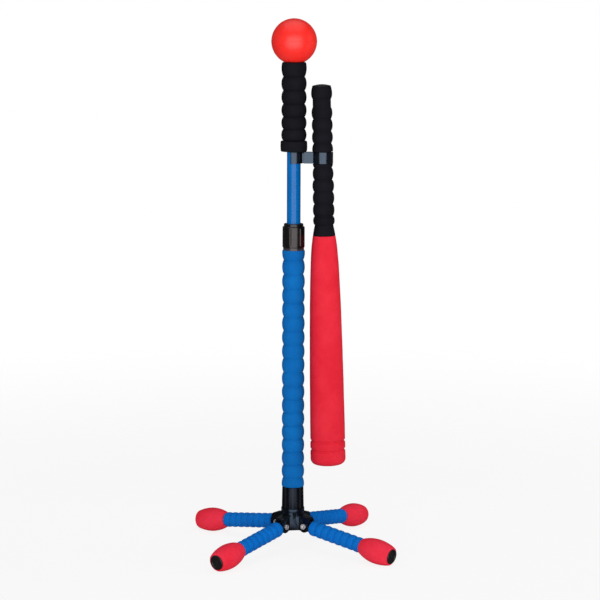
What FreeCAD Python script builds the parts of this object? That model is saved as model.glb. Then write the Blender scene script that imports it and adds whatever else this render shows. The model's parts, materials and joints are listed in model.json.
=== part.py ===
import FreeCAD, Part
import math
import os
from types import SimpleNamespace

import Sketcher

# A foam batting tee: a telescoping pole with a twist lock on four fold-down legs, a ball on a foam
# tee, and a foam bat held beside the pole by a double clip.
# Millimetres and degrees. +Z is up, the origin is on the floor on the pole's axis, +X points at the bat.

# ---------------------------------------------------------------- driving dimensions

DIMENSIONS = {
    # fits: running between moving pieces, close between pieces that stay together, and plain air
    "running_gap": 0.08,
    "close_gap": 0.02,
    "air_gap": 0.3,
    # legs
    "leg_turn": -37,
    "leg_slope": 8,
    "pivot_reach": 29.1,
    "tongue_thickness": 8,
    "tongue_end_radius": 9,
    "stop_rise": 9.5,
    "shoulder_start": 11.5,
    "shoulder_end": 14,
    "tongue_plug_length": 24,
    "leg_tube_radius": 8,
    "leg_tube_wall": 1.4,
    "leg_foam_start": 12,
    "leg_foam_wall": 3.5,
    "leg_foam_lobe_rise": 1.3,
    "leg_foam_lobe_pitch": 13.14,
    "leg_foam_lobes": 8,
    # foot bulbs
    "bulb_radius": 20.5,
    "bulb_inner_length": 32.5,
    "bulb_outer_length": 28,
    "bulb_inner_arc": 70,
    "bulb_outer_arc": 78,
    "foot_flat": 0.4,
    "foot_cap_radius": 12.6,
    "foot_cap_thickness": 2.2,
    "foot_cap_dish_radius": 9.6,
    "foot_cap_dish_depth": 0.9,
    "foot_cap_plug_length": 12,
    # pivot bolts and nuts
    "bolt_radius": 2.5,
    "bolt_head_radius": 4.75,
    "bolt_head_height": 3.2,
    "bolt_socket_radius": 2,
    "bolt_socket_depth": 1.8,
    "nut_radius": 4.6,
    "nut_height": 2.6,
    "nut_collar_radius": 3.8,
    "nut_collar_height": 0.8,
    # hub
    "lobe_width": 16,
    "ear_radius": 10.5,
    "ear_shoulder_rise": 8.4,
    "roof_edge_radius": 7,
    "roof_rise": 15.7,
    "roof_crown": 3.2,
    "roof_thickness": 3.5,
    "hub_drop": 8,
    "block_half_width": 19,
    "neck_step": 2.2,
    "neck_height": 7.6,
    "neck_rib_reach": 1,
    "neck_rib_width": 5,
    "ledge_height": 5,
    "socket_depth": 5,
    "spigot_wall": 2.4,
    "spigot_height": 30,
    # base nut
    "base_nut_height": 36.6,
    "base_nut_bottom_wall": 3.1,
    "base_nut_top_wall": 1.7,
    "base_nut_flute_radius": 20,
    "base_nut_flute_depth": 0.7,
    "base_nut_flutes": 8,
    # lower tube and its foam
    "lower_tube_radius": 14,
    "lower_tube_wall": 1.5,
    "lower_foam_wall": 2.7,
    "lower_foam_lobe_rise": 2.4,
    "lower_foam_lobe_pitch": 22.547,
    "lower_foam_lobes": 18,
    # twist lock
    "collar_flange_reach": 1.6,
    "collar_flange_height": 4.3,
    "collar_wall": 2,
    "collar_socket_depth": 18,
    "collar_land": 3,
    "finger_wall": 2.9,
    "finger_length": 12.5,
    "finger_slot_width": 2,
    "lock_nut_wall": 2.35,
    "lock_nut_body_height": 35.4,
    "lock_nut_ring_radius": 16.25,
    "lock_nut_ring_height": 4.6,
    "lock_nut_flute_radius": 3,
    "lock_nut_flute_depth": 0.9,
    "lock_nut_flutes": 7,
    "lock_nut_edge": 1,
    # upper tube
    "upper_tube_radius": 11.5,
    "upper_tube_wall": 1.2,
    "upper_tube_insertion": 250,
    "upper_tube_showing": 100.9,
    "bush_length": 20,
    "bush_lip": 2.5,
    # tee
    "tee_collar_wall": 10.9,
    "tee_collar_height": 18,
    "tee_collar_edge": 1.5,
    "tee_foam_wall": 6.75,
    "tee_lobe_rise": 2.45,
    "tee_lobe_pitch": 21.7,
    "tee_lobes": 6,
    "tube_top_depth": 14,
    "top_cap_thickness": 3,
    "top_cap_plug_length": 10,
    "ball_radius": 38.1,
    "ball_sink": 3.9,
    # clip
    "clip_height": 19,
    "clip_tube_wall": 2.4,
    "clip_bat_wall": 2.3,
    "clip_bat_bore": 15,
    "clip_bat_arm": 5,
    "clip_mouth_reach": 5.5,
    "clip_web_width": 3,
    "clip_block_width": 14,
    "clip_block_start": 17,
    # bat
    "bat_offset": 48.3,
    "bat_tilt": 1.3,
    "bat_above_clip": 121.3,
    "bat_core_radius": 9,
    "bat_core_wall": 1.8,
    "bat_core_length": 600,
    "knob_rise": 2.5,
    "knob_length": 22.5,
    "handle_neck_length": 13.4,
    "handle_lobe_rise": 2.8,
    "handle_lobe_pitch": 20.05,
    "handle_lobes": 10,
    "handle_cone_length": 16.5,
    "handle_cone_rise": 3.9,
    "clip_waist_gap": 0.5,
    "clip_waist_room": 1.5,
    "knob_cap_radius": 12,
    "knob_cap_thickness": 1.2,
    "knob_cap_plug_length": 15,
    "barrel_length": 389.6,
    "barrel_start_rise": 0.1,
    "barrel_shoulder_radius": 26.75,
    "barrel_shoulder_length": 141,
    "barrel_shoulder_arc": 1330,
    "barrel_end_radius": 29.8,
    "barrel_end_rounding": 6.5,
    "barrel_groove_depth": 2,
    "barrel_groove_width": 6,
    "barrel_groove_from_end": 26.1,
    "barrel_groove_spacing": 15.2,
}

# Each leg's name and its quarter turn on from the first leg.
LEGS = {"fr": 0, "br": 90, "bl": 180, "fl": 270}


# ---------------------------------------------------------------- sizes and formulas

class Size:
    """A number together with the spreadsheet formula that it comes from."""

    def __init__(self, value, formula):
        self.value = value
        self.formula = formula

    def __add__(self, other):
        other = as_size(other)
        return Size(self.value + other.value, f"({self.formula} + {other.formula})")

    def __sub__(self, other):
        other = as_size(other)
        return Size(self.value - other.value, f"({self.formula} - {other.formula})")

    def __mul__(self, other):
        other = as_size(other)
        return Size(self.value * other.value, f"({self.formula} * {other.formula})")

    def __truediv__(self, other):
        other = as_size(other)
        return Size(self.value / other.value, f"({self.formula} / {other.formula})")

    def __neg__(self):
        return Size(-self.value, f"(0 - {self.formula})")


def as_size(number):
    return number if isinstance(number, Size) else Size(float(number), repr(number))


def sine(angle):
    return Size(math.sin(math.radians(angle.value)), f"sin({angle.formula})")


def cosine(angle):
    return Size(math.cos(math.radians(angle.value)), f"cos({angle.formula})")


def root(number):
    return Size(math.sqrt(number.value), f"sqrt({number.formula})")


doc = FreeCAD.newDocument("batting_tee")
sheet = doc.addObject("Spreadsheet::Sheet", "sizes")
for row, (alias, number) in enumerate(DIMENSIONS.items(), start=1):
    sheet.set(f"A{row}", alias)
    sheet.set(f"B{row}", str(number))
    sheet.setAlias(f"B{row}", alias)
doc.recompute()
size = SimpleNamespace(**{alias: Size(float(number), f"sizes.{alias}")
                          for alias, number in DIMENSIONS.items()})

# Radii that follow from the tubes, working outwards through each piece's wall.
leg_tube_bore = size.leg_tube_radius - size.leg_tube_wall
lower_tube_bore = size.lower_tube_radius - size.lower_tube_wall
upper_tube_bore = size.upper_tube_radius - size.upper_tube_wall
bat_core_bore = size.bat_core_radius - size.bat_core_wall
spigot_radius = size.lower_tube_radius + size.spigot_wall
neck_radius = spigot_radius + size.neck_step
base_nut_bore = spigot_radius + size.air_gap
base_nut_bottom_radius = base_nut_bore + size.base_nut_bottom_wall
base_nut_top_radius = base_nut_bore + size.base_nut_top_wall
collar_radius = size.lower_tube_radius + size.collar_wall
lock_nut_bore = collar_radius + size.air_gap
lock_nut_radius = lock_nut_bore + size.lock_nut_wall

# The pivot's height puts the underside of each sloping foot bulb on the floor.
bulb_middle = (size.leg_foam_start + size.leg_foam_lobe_pitch * size.leg_foam_lobes
               + size.bulb_inner_length)
bulb_end = bulb_middle + size.bulb_outer_length
bulb_start = bulb_middle - size.bulb_inner_length
bulb_arc_drop = size.bulb_radius - size.bulb_outer_arc
pivot_z = (size.bulb_outer_arc + bulb_middle * sine(size.leg_slope)
           + bulb_arc_drop * cosine(size.leg_slope) - size.foot_flat)

# Heights up the pole. Each piece stands on the one before it.
hub_bottom = pivot_z - size.hub_drop
roof_top = pivot_z + size.roof_rise
roof_underside = roof_top - size.roof_thickness
socket_floor = roof_top - size.socket_depth
ledge_bottom = roof_top + size.neck_height
ledge_top = ledge_bottom + size.ledge_height
base_nut_bottom = ledge_top + size.air_gap
lower_foam_bottom = base_nut_bottom + size.base_nut_height + size.air_gap
lower_foam_top = lower_foam_bottom + size.lower_foam_lobe_pitch * size.lower_foam_lobes
lock_nut_bottom = lower_foam_top + size.collar_flange_height + size.air_gap
lock_nut_height = size.lock_nut_body_height + size.lock_nut_ring_height
clip_bottom = lock_nut_bottom + lock_nut_height + size.upper_tube_showing
clip_middle = clip_bottom + size.clip_height / 2
tee_collar_bottom = clip_bottom + size.clip_height + size.air_gap * 2
tee_sleeve_bottom = tee_collar_bottom + size.tee_collar_height
tee_sleeve_height = size.tee_lobe_pitch * size.tee_lobes
ball_middle = tee_sleeve_bottom + tee_sleeve_height - size.ball_sink + size.ball_radius
upper_tube_bottom = lock_nut_bottom + lock_nut_height - size.upper_tube_insertion
upper_tube_top = tee_sleeve_bottom + tee_sleeve_height - size.tube_top_depth


# ---------------------------------------------------------------- building blocks

NODES = []


def keep(piece, label):
    """Name a finished sub-part and put it on the list of nodes to write."""
    piece.Label = label
    NODES.append(piece)
    return piece


def place(piece, position=(0, 0, 0), turn=(0, 0, 0)):
    """Bind a placement: position x, y, z and yaw, pitch, roll."""
    at = "; ".join(as_size(value).formula for value in position)
    angles = "; ".join(as_size(value).formula for value in turn)
    piece.setExpression("Placement", f"create(<<placement>>; create(<<vector>>; {at});"
                                     f" create(<<rotation>>; {angles}))")
    return piece


def primitive(kind, name, position=(0, 0, 0), turn=(0, 0, 0), **lengths):
    shape = doc.addObject(kind, name)
    for key, value in lengths.items():
        shape.setExpression(key, as_size(value).formula)
    return place(shape, position, turn)


def box(name, low, span, turn=(0, 0, 0)):
    return primitive("Part::Box", name, low, turn, Length=span[0], Width=span[1], Height=span[2])


def cylinder(name, radius, height, position=(0, 0, 0), turn=(0, 0, 0)):
    return primitive("Part::Cylinder", name, position, turn, Radius=radius, Height=height)


def cross_cylinder(name, radius, length, along=0):
    """A cylinder along Y, centred on the XZ plane, at a distance along X or Z of a leg's frame."""
    return cylinder(name, radius, length, (0, length / 2, along), (0, 0, 90))


def fused(name, *shapes):
    union = doc.addObject("Part::MultiFuse", name)
    union.Shapes = list(shapes)
    return union


def less(name, base, *tools):
    cut = doc.addObject("Part::Cut", name)
    cut.Base = base
    cut.Tool = tools[0] if len(tools) == 1 else fused(f"{name}_tools", *tools)
    return cut


def body_named(name):
    return doc.addObject("PartDesign::Body", name)


def sketch_on(body, name, plane, offset=0):
    """A sketch on one of the body's origin planes, raised along the plane's normal."""
    sketch = body.newObject("Sketcher::SketchObject", name)
    support = [item for item in body.Origin.OriginFeatures if item.Role == plane][0]
    sketch.AttachmentSupport = (support, [""])
    sketch.MapMode = "FlatFace"
    sketch.setExpression("AttachmentOffset.Base.z", as_size(offset).formula)
    return sketch


def arc_between(start, end, radius):
    """A short arc that bulges away from the vertical axis, and whether it runs from start to end."""
    middle = (start + end) * 0.5
    chord = end - start
    normal = FreeCAD.Vector(-chord.y, chord.x, 0).normalize()
    reach = math.sqrt(max(radius ** 2 - (chord.Length / 2) ** 2, 0.0))
    center = min(middle + normal * reach, middle - normal * reach, key=lambda point: point.x)
    angles = [math.atan2(point.y - center.y, point.x - center.x) for point in (start, end)]
    forwards = (angles[1] - angles[0]) % (2 * math.pi) < math.pi
    first, last = angles if forwards else reversed(angles)
    circle = Part.Circle(center, FreeCAD.Vector(0, 0, 1), radius)
    return Part.ArcOfCircle(circle, first, last), forwards


def draw_outline(sketch, corners):
    """Draw a closed outline. Each corner is (x, y), or (x, y, radius) where an arc leaves it."""
    points = [FreeCAD.Vector(as_size(c[0]).value, as_size(c[1]).value, 0) for c in corners]
    ends = []
    for index, corner in enumerate(corners):
        start, end = points[index], points[(index + 1) % len(points)]
        if len(corner) == 3:
            arc, forwards = arc_between(start, end, corner[2].value)
            sketch.addGeometry(arc)
            ends.append((1, 2) if forwards else (2, 1))
        else:
            sketch.addGeometry(Part.LineSegment(start, end))
            ends.append((1, 2))
    for index, corner in enumerate(corners):
        following = (index + 1) % len(corners)
        first, last = ends[index]
        sketch.addConstraint(Sketcher.Constraint("Coincident", index, last, following,
                                                 ends[following][0]))
        for kind, axis, value, name in (("DistanceX", -2, corner[0], "x"),
                                        ("DistanceY", -1, corner[1], "y")):
            value = as_size(value)
            if value.value == 0:
                sketch.addConstraint(Sketcher.Constraint("PointOnObject", index, first, axis))
                continue
            bound = Sketcher.Constraint(kind, -1, 1, index, first, value.value)
            bind_constraint(sketch, bound, f"{name}{index}", value)
        if len(corner) == 3:
            bound = Sketcher.Constraint("Radius", index, corner[2].value)
            bind_constraint(sketch, bound, f"radius{index}", corner[2])
    return sketch


def bind_constraint(sketch, constraint, name, value):
    sketch.renameConstraint(sketch.addConstraint(constraint), name)
    sketch.setExpression(f"Constraints.{name}", value.formula)


def spun(body, name, corners, kind="Revolution"):
    """Turn an outline of (radius, height) corners about the body's vertical axis."""
    sketch = draw_outline(sketch_on(body, f"{name}_outline", "XZ_Plane"), corners)
    feature = body.newObject(f"PartDesign::{kind}", name)
    feature.Profile = sketch
    feature.ReferenceAxis = (sketch, ["V_Axis"])
    feature.Angle = 360
    doc.recompute()
    return feature


def groove(body, name, corners):
    return removed(body, lambda: spun(body, name, corners, "Groove"))


def removed(body, make):
    """Make a cutting feature and insist that it takes material away."""
    before = body.Shape.Volume
    feature = make()
    doc.recompute()
    if not body.Shape.Volume < before - 1e-3:
        raise RuntimeError(f"{feature.Name} removed nothing")
    return feature


def padded(body, name, sketch, length, midplane=False):
    pad = body.newObject("PartDesign::Pad", name)
    pad.Profile = sketch
    pad.Midplane = midplane
    pad.setExpression("Length", as_size(length).formula)
    doc.recompute()
    return pad


def pocketed(body, name, sketch, length, midplane=False):
    """A pocket cut upwards from its sketch, or evenly to both sides of it."""
    def make():
        pocket = body.newObject("PartDesign::Pocket", name)
        pocket.Profile = sketch
        pocket.Midplane = midplane
        pocket.Reversed = not midplane
        pocket.setExpression("Length", as_size(length).formula)
        return pocket
    return removed(body, make)


def repeated_round(body, feature, count):
    pattern = body.newObject("PartDesign::PolarPattern", f"{feature.Name}_round")
    pattern.Originals = [feature]
    vertical = [item for item in body.Origin.OriginFeatures if item.Role == "Z_Axis"][0]
    pattern.Axis = (vertical, [""])
    pattern.Angle = 360
    pattern.setExpression("Occurrences", as_size(count).formula)
    body.Tip = pattern
    doc.recompute()
    return pattern


def repeated_up(body, feature, pitch, count):
    pattern = body.newObject("PartDesign::LinearPattern", f"{feature.Name}_up")
    pattern.Originals = [feature]
    vertical = [item for item in body.Origin.OriginFeatures if item.Role == "Z_Axis"][0]
    pattern.Direction = (vertical, [""])
    pattern.setExpression("Length", (pitch * (count - 1)).formula)
    pattern.setExpression("Occurrences", count.formula)
    body.Tip = pattern
    doc.recompute()
    return pattern


def ring(body, name, inner, outer, low, high):
    return spun(body, name, [(inner, low), (outer, low), (outer, high), (inner, high)])


def lobes(body, name, bore, groove_radius, rise, pitch, count, start=0):
    """Foam beads stacked up the axis, each bulging by rise between its two grooves."""
    start = as_size(start)
    arc = (rise * rise + pitch * pitch / 4) / (rise * 2)
    bead = spun(body, name, [(bore, start), (groove_radius, start, arc),
                             (groove_radius, start + pitch), (bore, start + pitch)])
    return repeated_up(body, bead, pitch, count)


def flutes(body, name, radius, depth, surface, low, height, count):
    """Upright grip flutes, sunk by depth into a surface of the given radius."""
    sketch = sketch_on(body, f"{name}_section", "XY_Plane", low)
    center = surface + radius - depth
    sketch.addGeometry(Part.Circle(FreeCAD.Vector(center.value, 0, 0),
                                   FreeCAD.Vector(0, 0, 1), radius.value))
    sketch.addConstraint(Sketcher.Constraint("PointOnObject", 0, 3, -1))
    bind_constraint(sketch, Sketcher.Constraint("DistanceX", -1, 1, 0, 3, center.value),
                    "center", center)
    bind_constraint(sketch, Sketcher.Constraint("Radius", 0, radius.value), "radius", radius)
    return repeated_round(body, pocketed(body, name, sketch, height), count)


# ---------------------------------------------------------------- hub

def make_hub():
    """The moulded hub: a block with four clevises, a neck with a ledge, and a spigot for the pole."""
    body = body_named("hub_body")
    ear_chord = root(size.ear_radius * size.ear_radius - size.hub_drop * size.hub_drop)
    lobe_end = size.pivot_reach + size.ear_radius
    shoulder = pivot_z + size.ear_shoulder_rise
    lobe = draw_outline(sketch_on(body, "clevis_outline", "XZ_Plane"), [
        (0, hub_bottom),
        (size.pivot_reach - ear_chord, hub_bottom, size.ear_radius),
        (lobe_end, pivot_z),
        (lobe_end, shoulder, size.roof_edge_radius),
        (lobe_end - size.roof_edge_radius, roof_top),
        (neck_radius, roof_top + size.roof_crown),
        (0, roof_top + size.roof_crown),
    ])
    repeated_round(body, padded(body, "clevis", lobe, size.lobe_width, midplane=True), len(LEGS))

    corner = size.block_half_width * math.sqrt(2)
    block = draw_outline(sketch_on(body, "block_section", "XY_Plane", hub_bottom),
                         [(corner, 0), (0, corner), (-corner, 0), (0, -corner)])
    padded(body, "block", block, roof_top - hub_bottom)

    tube = size.lower_tube_radius + size.close_gap
    spigot_top = ledge_top + size.spigot_height
    spun(body, "neck", [
        (0, socket_floor), (neck_radius, socket_floor), (neck_radius, ledge_bottom),
        (base_nut_bottom_radius, ledge_bottom), (base_nut_bottom_radius, ledge_top),
        (spigot_radius, ledge_top), (spigot_radius, spigot_top), (0, spigot_top),
    ])

    # The ribs stand on the block between the clevises, so their outline is turned by 45 degrees.
    turn = math.sqrt(0.5)
    reach, half = (neck_radius + size.neck_rib_reach) * turn, size.neck_rib_width / 2 * turn
    rib = draw_outline(sketch_on(body, "neck_rib_section", "XY_Plane", roof_top - size.roof_thickness), [
        (half, -half), (reach + half, reach - half), (reach - half, reach + half), (-half, half)])
    rib_height = size.roof_thickness + size.neck_height
    repeated_round(body, padded(body, "neck_rib", rib, rib_height), len(LEGS))
    groove(body, "socket", [(0, socket_floor), (tube, socket_floor),
                            (tube, spigot_top + size.air_gap), (0, spigot_top + size.air_gap)])

    slot_start = size.pivot_reach - size.tongue_end_radius - size.air_gap * 3
    slot = draw_outline(sketch_on(body, "slot_outline", "XZ_Plane"), [
        (slot_start, hub_bottom - size.ear_radius), (lobe_end * 1.2, hub_bottom - size.ear_radius),
        (lobe_end * 1.2, roof_underside), (slot_start, roof_underside)])
    slot_width = size.tongue_thickness + size.air_gap * 2
    repeated_round(body, pocketed(body, "slot", slot, slot_width, midplane=True), len(LEGS))

    hole = sketch_on(body, "pivot_hole_section", "XZ_Plane")
    radius = size.bolt_radius + size.close_gap
    hole.addGeometry(Part.Circle(FreeCAD.Vector(size.pivot_reach.value, pivot_z.value, 0),
                                 FreeCAD.Vector(0, 0, 1), radius.value))
    bind_constraint(hole, Sketcher.Constraint("DistanceX", -1, 1, 0, 3, size.pivot_reach.value),
                    "reach", size.pivot_reach)
    bind_constraint(hole, Sketcher.Constraint("DistanceY", -1, 1, 0, 3, pivot_z.value),
                    "rise", pivot_z)
    bind_constraint(hole, Sketcher.Constraint("Radius", 0, radius.value), "radius", radius)
    pocket = pocketed(body, "pivot_hole", hole, size.lobe_width * 1.1, midplane=True)
    repeated_round(body, pocket, len(LEGS))
    place(keep(body, "hub"), turn=(size.leg_turn, 0, 0))


# ---------------------------------------------------------------- legs

def leg_azimuth(leg):
    return size.leg_turn + LEGS[leg]


def at_pivot(piece, leg, pitch, roll=0):
    """Put a piece made about the pivot into its leg's place."""
    azimuth = leg_azimuth(leg)
    position = (size.pivot_reach * cosine(azimuth), size.pivot_reach * sine(azimuth), pivot_z)
    return place(piece, position, (azimuth, pitch, roll))


def along_leg(piece, leg):
    """The piece's +Z becomes the leg's direction, sloping down and outwards, and its -X faces up."""
    return at_pivot(piece, leg, size.leg_slope + 90)


def make_tongue(leg):
    """The plastic leg end: a plate in the clevis with a stop heel, a shoulder and a plug."""
    thick = size.tongue_thickness
    plate_half = size.leg_tube_radius
    plate = box(f"tongue_plate_{leg}", (-plate_half, thick / -2, 0),
                (plate_half * 2, thick, size.shoulder_start))
    eye = cross_cylinder(f"tongue_eye_{leg}", size.tongue_end_radius, thick)
    # The heel's flat top lies level at rest, just under the clevis roof, and stops the leg there.
    heel = box(f"tongue_heel_{leg}", (-(size.stop_rise * cosine(size.leg_slope)), thick / -2,
                                      -(size.stop_rise * sine(size.leg_slope))),
               (size.stop_rise, thick, size.shoulder_start), (0, -size.leg_slope, 0))
    shoulder = cylinder(f"tongue_shoulder_{leg}", size.leg_tube_radius,
                        size.shoulder_end - size.shoulder_start, (0, 0, size.shoulder_start))
    plug = cylinder(f"tongue_plug_{leg}", leg_tube_bore - size.close_gap,
                    size.tongue_plug_length, (0, 0, size.shoulder_end))
    hole = cross_cylinder(f"tongue_hole_{leg}", size.bolt_radius + size.running_gap, thick * 2)
    solid = fused(f"tongue_solid_{leg}", plate, eye, heel, shoulder, plug)
    tongue = less(f"tongue_{leg}", solid, hole)
    tongue.Refine = True
    along_leg(keep(tongue, f"leg_tongue_{leg}"), leg)


def make_leg_tube(leg):
    body = body_named(f"leg_tube_body_{leg}")
    ring(body, f"leg_tube_wall_{leg}", leg_tube_bore, size.leg_tube_radius,
         size.shoulder_end, bulb_end)
    along_leg(keep(body, f"leg_tube_{leg}"), leg)


def make_leg_foam(leg):
    body = body_named(f"leg_foam_body_{leg}")
    lobes(body, f"leg_foam_lobe_{leg}", size.leg_tube_radius + size.close_gap,
          size.leg_tube_radius + size.leg_foam_wall,
          size.leg_foam_lobe_rise, size.leg_foam_lobe_pitch, size.leg_foam_lobes,
          size.leg_foam_start)
    along_leg(keep(body, f"leg_foam_{leg}"), leg)


def make_foot_bulb(leg):
    """An egg-shaped foam foot, pressed flat where it stands on the floor."""
    body = body_named(f"foot_bulb_body_{leg}")
    inner, outer = size.bulb_inner_arc, size.bulb_outer_arc
    inner_length, outer_length = size.bulb_inner_length, size.bulb_outer_length
    start_radius = size.bulb_radius - inner + root(inner * inner - inner_length * inner_length)
    end_radius = size.bulb_radius - outer + root(outer * outer - outer_length * outer_length)
    bore = size.leg_tube_radius + size.close_gap
    spun(body, f"bulb_{leg}", [(bore, bulb_start), (start_radius, bulb_start, inner),
                               (size.bulb_radius, bulb_middle, outer), (end_radius, bulb_end),
                               (bore, bulb_end)])
    slope = size.leg_slope
    low = (pivot_z * cosine(slope) - bulb_start * sine(slope), -size.bulb_radius,
           pivot_z * sine(slope) + bulb_start * cosine(slope))
    span = (size.bulb_radius, size.bulb_radius * 2, bulb_end - bulb_start)
    floor = box(f"floor_{leg}", low, span, (0, -slope, 0))
    along_leg(keep(less(f"foot_bulb_cut_{leg}", body, floor), f"foot_bulb_{leg}"), leg)


def make_foot_cap(leg):
    """A push-in cap with a rim round a shallow dish."""
    body = body_named(f"foot_cap_body_{leg}")
    face = bulb_end + size.foot_cap_thickness
    plug = leg_tube_bore - size.close_gap
    dish = size.foot_cap_dish_radius
    spun(body, f"cap_{leg}", [
        (0, bulb_end - size.foot_cap_plug_length), (plug, bulb_end - size.foot_cap_plug_length),
        (plug, bulb_end), (size.foot_cap_radius, bulb_end, size.foot_cap_thickness * 1.5),
        (size.foot_cap_radius - size.foot_cap_thickness, face), (dish, face),
        (dish - size.foot_cap_dish_depth, face - size.foot_cap_dish_depth),
        (0, face - size.foot_cap_dish_depth)])
    along_leg(keep(body, f"foot_cap_{leg}"), leg)


def make_bolt(leg):
    """A socket-head bolt across the clevis, its head on the leg's clockwise side."""
    half = size.lobe_width / 2
    shank_length = size.lobe_width + size.nut_height + size.nut_collar_height
    shank = cylinder(f"bolt_shank_{leg}", size.bolt_radius, shank_length,
                     (0, 0, half - shank_length))
    head = cylinder(f"bolt_head_{leg}", size.bolt_head_radius, size.bolt_head_height, (0, 0, half))
    socket = primitive("Part::Prism", f"bolt_socket_{leg}",
                       (0, 0, half + size.bolt_head_height - size.bolt_socket_depth),
                       Circumradius=size.bolt_socket_radius, Height=size.bolt_socket_depth * 2)
    solid = fused(f"bolt_solid_{leg}", shank, head)
    return at_pivot(less(f"bolt_{leg}", solid, socket), leg, 0, 90)


def make_nut(leg):
    """A self-locking hexagon nut with a round collar."""
    low = size.lobe_width / -2 - size.nut_height
    hexagon = primitive("Part::Prism", f"nut_hexagon_{leg}", (0, 0, low),
                        Circumradius=size.nut_radius, Height=size.nut_height)
    collar = cylinder(f"nut_collar_{leg}", size.nut_collar_radius, size.nut_collar_height,
                      (0, 0, low - size.nut_collar_height))
    thread = cylinder(f"nut_thread_{leg}", size.bolt_radius + size.close_gap, size.lobe_width,
                      (0, 0, size.lobe_width * -1.2))
    solid = fused(f"nut_solid_{leg}", hexagon, collar)
    return at_pivot(less(f"nut_{leg}", solid, thread), leg, 0, 90)


def make_fasteners():
    for label, make in (("leg_pivot_bolts", make_bolt), ("leg_pivot_nuts", make_nut)):
        group = doc.addObject("Part::Compound", label)
        group.Links = [make(leg) for leg in LEGS]
        keep(group, label)


def make_legs():
    for leg in LEGS:
        make_tongue(leg)
        make_leg_tube(leg)
        make_leg_foam(leg)
        make_foot_bulb(leg)
        make_foot_cap(leg)


# ---------------------------------------------------------------- pole

def make_base_nut():
    """The fluted, tapered nut that grips the pole in the hub's spigot."""
    body = body_named("base_nut_body")
    bore = base_nut_bore
    spun(body, "base_nut_wall", [
        (bore, 0), (base_nut_bottom_radius, 0),
        (base_nut_top_radius, size.base_nut_height), (bore, size.base_nut_height)])
    flutes(body, "base_nut_flute", size.base_nut_flute_radius, size.base_nut_flute_depth,
           base_nut_top_radius, as_size(-1), size.base_nut_height + 2, size.base_nut_flutes)
    place(keep(body, "base_nut"), (0, 0, base_nut_bottom), (-90, 0, 0))


def make_lower_tube():
    body = body_named("lower_tube_body")
    top = lower_foam_top + size.collar_flange_height + size.collar_socket_depth
    ring(body, "lower_tube_wall", lower_tube_bore, size.lower_tube_radius,
         socket_floor + size.close_gap, top)
    keep(body, "lower_tube")


def make_lower_foam():
    body = body_named("lower_foam_body")
    lobes(body, "lower_foam_lobe", size.lower_tube_radius + size.close_gap,
          size.lower_tube_radius + size.lower_foam_wall,
          size.lower_foam_lobe_rise, size.lower_foam_lobe_pitch, size.lower_foam_lobes)
    place(keep(body, "lower_foam_sleeve"), (0, 0, lower_foam_bottom))


def make_lock_collar():
    """A flanged collar on the lower tube's end, with split fingers round the upper tube."""
    body = body_named("lock_collar_body")
    socket = size.lower_tube_radius + size.close_gap
    grip = size.upper_tube_radius + size.running_gap
    fingers = grip + size.finger_wall
    flange, flange_top = collar_radius + size.collar_flange_reach, size.collar_flange_height
    shelf = flange_top + size.collar_socket_depth + size.close_gap
    land = shelf + size.collar_land
    top = land + size.finger_length
    spun(body, "collar_wall", [
        (socket, 0), (flange, 0), (flange, flange_top),
        (collar_radius, flange_top), (collar_radius, shelf), (fingers, land),
        (fingers, top), (grip, top), (grip, shelf), (socket, shelf)])
    half = size.finger_slot_width / 2
    section = draw_outline(sketch_on(body, "finger_slot_section", "XY_Plane", land), [
        (-half, -collar_radius), (half, -collar_radius),
        (half, collar_radius), (-half, collar_radius)])
    slot = pocketed(body, "finger_slot", section, size.finger_length * 1.2)
    repeated_round(body, slot, 4)
    place(keep(body, "lock_collar"), (0, 0, lower_foam_top))


def make_lock_nut():
    """The twist-lock nut, whose cone squeezes the collar's fingers on to the upper tube."""
    body = body_named("lock_nut_body")
    bore = lock_nut_bore
    neck = size.upper_tube_radius + size.air_gap
    fingers = size.upper_tube_radius + size.running_gap + size.finger_wall + size.air_gap
    wide_top = size.collar_socket_depth
    narrow = wide_top + size.collar_land + size.air_gap
    ceiling = wide_top + size.collar_land + size.finger_length + size.air_gap * 4
    edge, radius = size.lock_nut_edge, lock_nut_radius
    body_top = size.lock_nut_body_height
    spun(body, "lock_nut_wall", [
        (bore, 0), (radius - edge, 0), (radius, edge), (radius, body_top - edge),
        (radius - edge, body_top), (size.lock_nut_ring_radius, body_top),
        (size.lock_nut_ring_radius, lock_nut_height - edge),
        (size.lock_nut_ring_radius - edge, lock_nut_height), (neck, lock_nut_height),
        (neck, ceiling), (fingers, ceiling), (fingers, narrow), (bore, wide_top)])
    flutes(body, "lock_nut_flute", size.lock_nut_flute_radius, size.lock_nut_flute_depth,
           lock_nut_radius, edge * 2, size.lock_nut_body_height - edge * 4, size.lock_nut_flutes)
    place(keep(body, "lock_nut"), (0, 0, lock_nut_bottom), (-107, 0, 0))


def make_upper_tube():
    body = body_named("upper_tube_body")
    ring(body, "upper_tube_wall", upper_tube_bore, size.upper_tube_radius,
         upper_tube_bottom, upper_tube_top)
    keep(body, "upper_tube")


def make_guide_bush():
    """A bush on the upper tube's lower end that slides in the lower tube."""
    body = body_named("guide_bush_body")
    outside = lower_tube_bore - size.running_gap
    inside = size.upper_tube_radius + size.close_gap
    lip = upper_tube_bore - size.bush_lip / 2
    spun(body, "bush_wall", [
        (lip, -size.bush_lip), (outside, -size.bush_lip), (outside, size.bush_length),
        (inside, size.bush_length), (inside, -size.close_gap), (lip, -size.close_gap)])
    place(keep(body, "tube_guide_bush"), (0, 0, upper_tube_bottom))


# ---------------------------------------------------------------- tee and ball

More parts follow.
